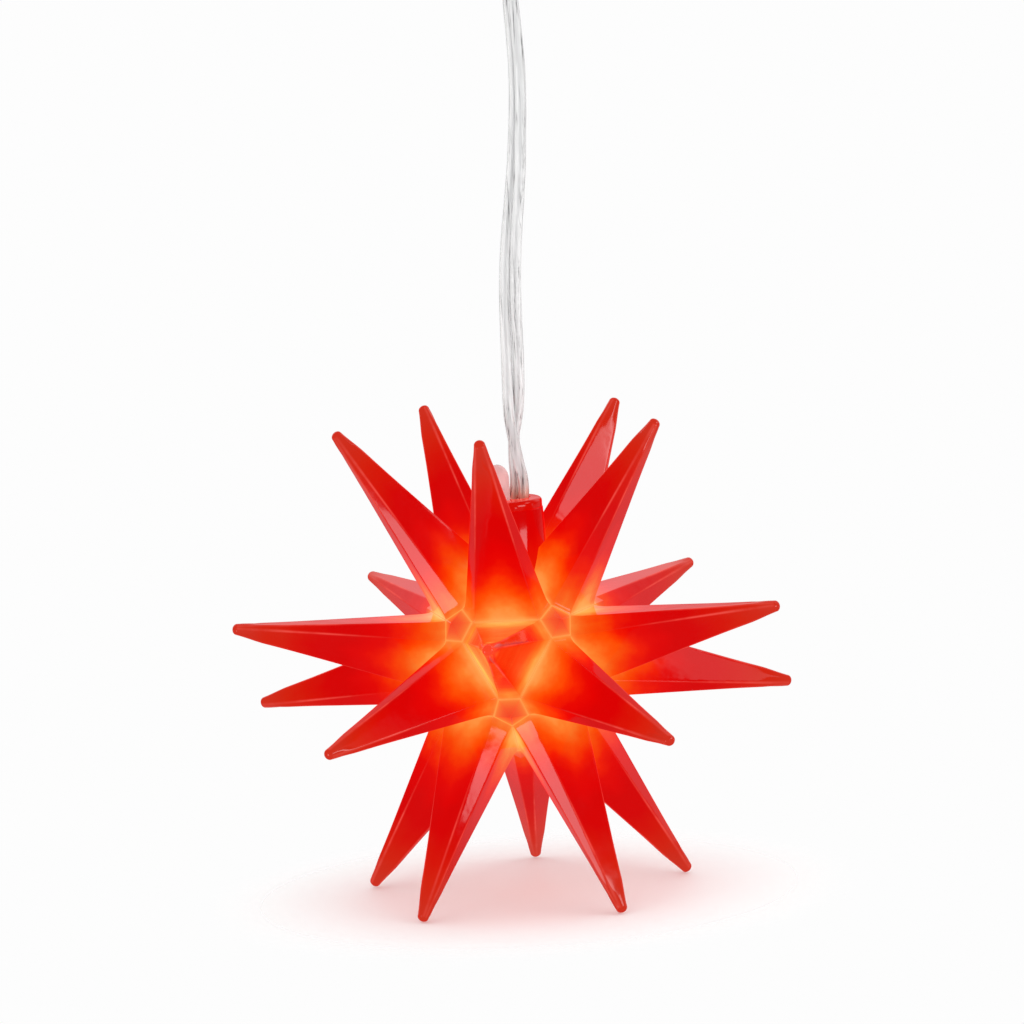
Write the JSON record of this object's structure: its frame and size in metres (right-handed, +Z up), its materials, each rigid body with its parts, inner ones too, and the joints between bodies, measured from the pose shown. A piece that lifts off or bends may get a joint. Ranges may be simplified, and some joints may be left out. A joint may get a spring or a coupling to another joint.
{
  "type": "led christmas star",
  "caption": "Hanging LED star: red translucent hollow spikes on a many-sided core, with a neck, push-in lamp, clear twisted lead and plug coupling with a hanging eye.",
  "frame": {"origin": "centre of the hanging eye on the plug coupling, with the star's centre plumb below it", "axes": "+Z up, away from the star and along its neck; +Y along the eye's hole, away from the front of the star; +X from the eye towards the plug"},
  "size_m": [0.1124, 0.118, 0.2385],
  "materials": {
    "star_plastic": "gloss translucent moulded plastic, lit from inside",
    "neck_plastic": "gloss translucent moulded plastic",
    "cap_plastic": "gloss moulded plastic",
    "seal_rubber": "soft clear silicone",
    "holder_plastic": "clear moulded plastic, tinted by the star around it",
    "dome_plastic": "frosted moulded plastic",
    "led_epoxy": "cast clear resin",
    "leg_tin": "tinned wire",
    "resistor_coat": "lacquered body with colour rings",
    "sleeve_plastic": "shrunk-on black sleeve",
    "lead_pvc": "clear soft cable sheath over tinned strands",
    "boot_pvc": "soft moulded white sleeve",
    "coupling_plastic": "white moulded plastic",
    "pin_brass": "turned brass",
    "nut_plastic": "white moulded plastic"
  },
  "bodies": {
    "suspension": {"coupling_body": "coupling_plastic", "contact_pins": "pin_brass", "coupling_seal": "seal_rubber", "cable_boot": "boot_pvc", "lead_a": "lead_pvc", "lead_b": "lead_pvc", "socket_cap": "cap_plastic", "seal_ring": "seal_rubber", "lamp_holder": "holder_plastic", "diffuser_dome": "dome_plastic", "led_lens": "led_epoxy", "led_legs": "leg_tin", "series_resistor": "resistor_coat", "shrink_sleeves": "sleeve_plastic"},
    "star": {"spike_top_1": "star_plastic", "spike_top_2": "star_plastic", "spike_top_3": "star_plastic", "spike_top_4": "star_plastic", "spike_top_5": "star_plastic", "spike_upper_1": "star_plastic", "spike_upper_2": "star_plastic", "spike_upper_3": "star_plastic", "spike_upper_4": "star_plastic", "spike_upper_5": "star_plastic", "spike_lower_1": "star_plastic", "spike_lower_2": "star_plastic", "spike_lower_3": "star_plastic", "spike_lower_4": "star_plastic", "spike_lower_5": "star_plastic", "spike_bottom_1": "star_plastic", "spike_bottom_2": "star_plastic", "spike_bottom_3": "star_plastic", "spike_bottom_4": "star_plastic", "spike_bottom_5": "star_plastic", "neck_tube": "neck_plastic"},
    "nut": {"coupling_nut": "nut_plastic"}
  },
  "joints": [
    {"name": "star_pull_off", "type": "slide", "parent": "suspension", "child": "star", "axis": [0, 0, -1], "range_m": [0, 0.045]},
    {"name": "nut_spin", "type": "hinge", "parent": "suspension", "child": "nut", "pos_m": [0.008, 0, 0.0107], "axis": [0, 0, 1], "continuous": true}
  ]
}
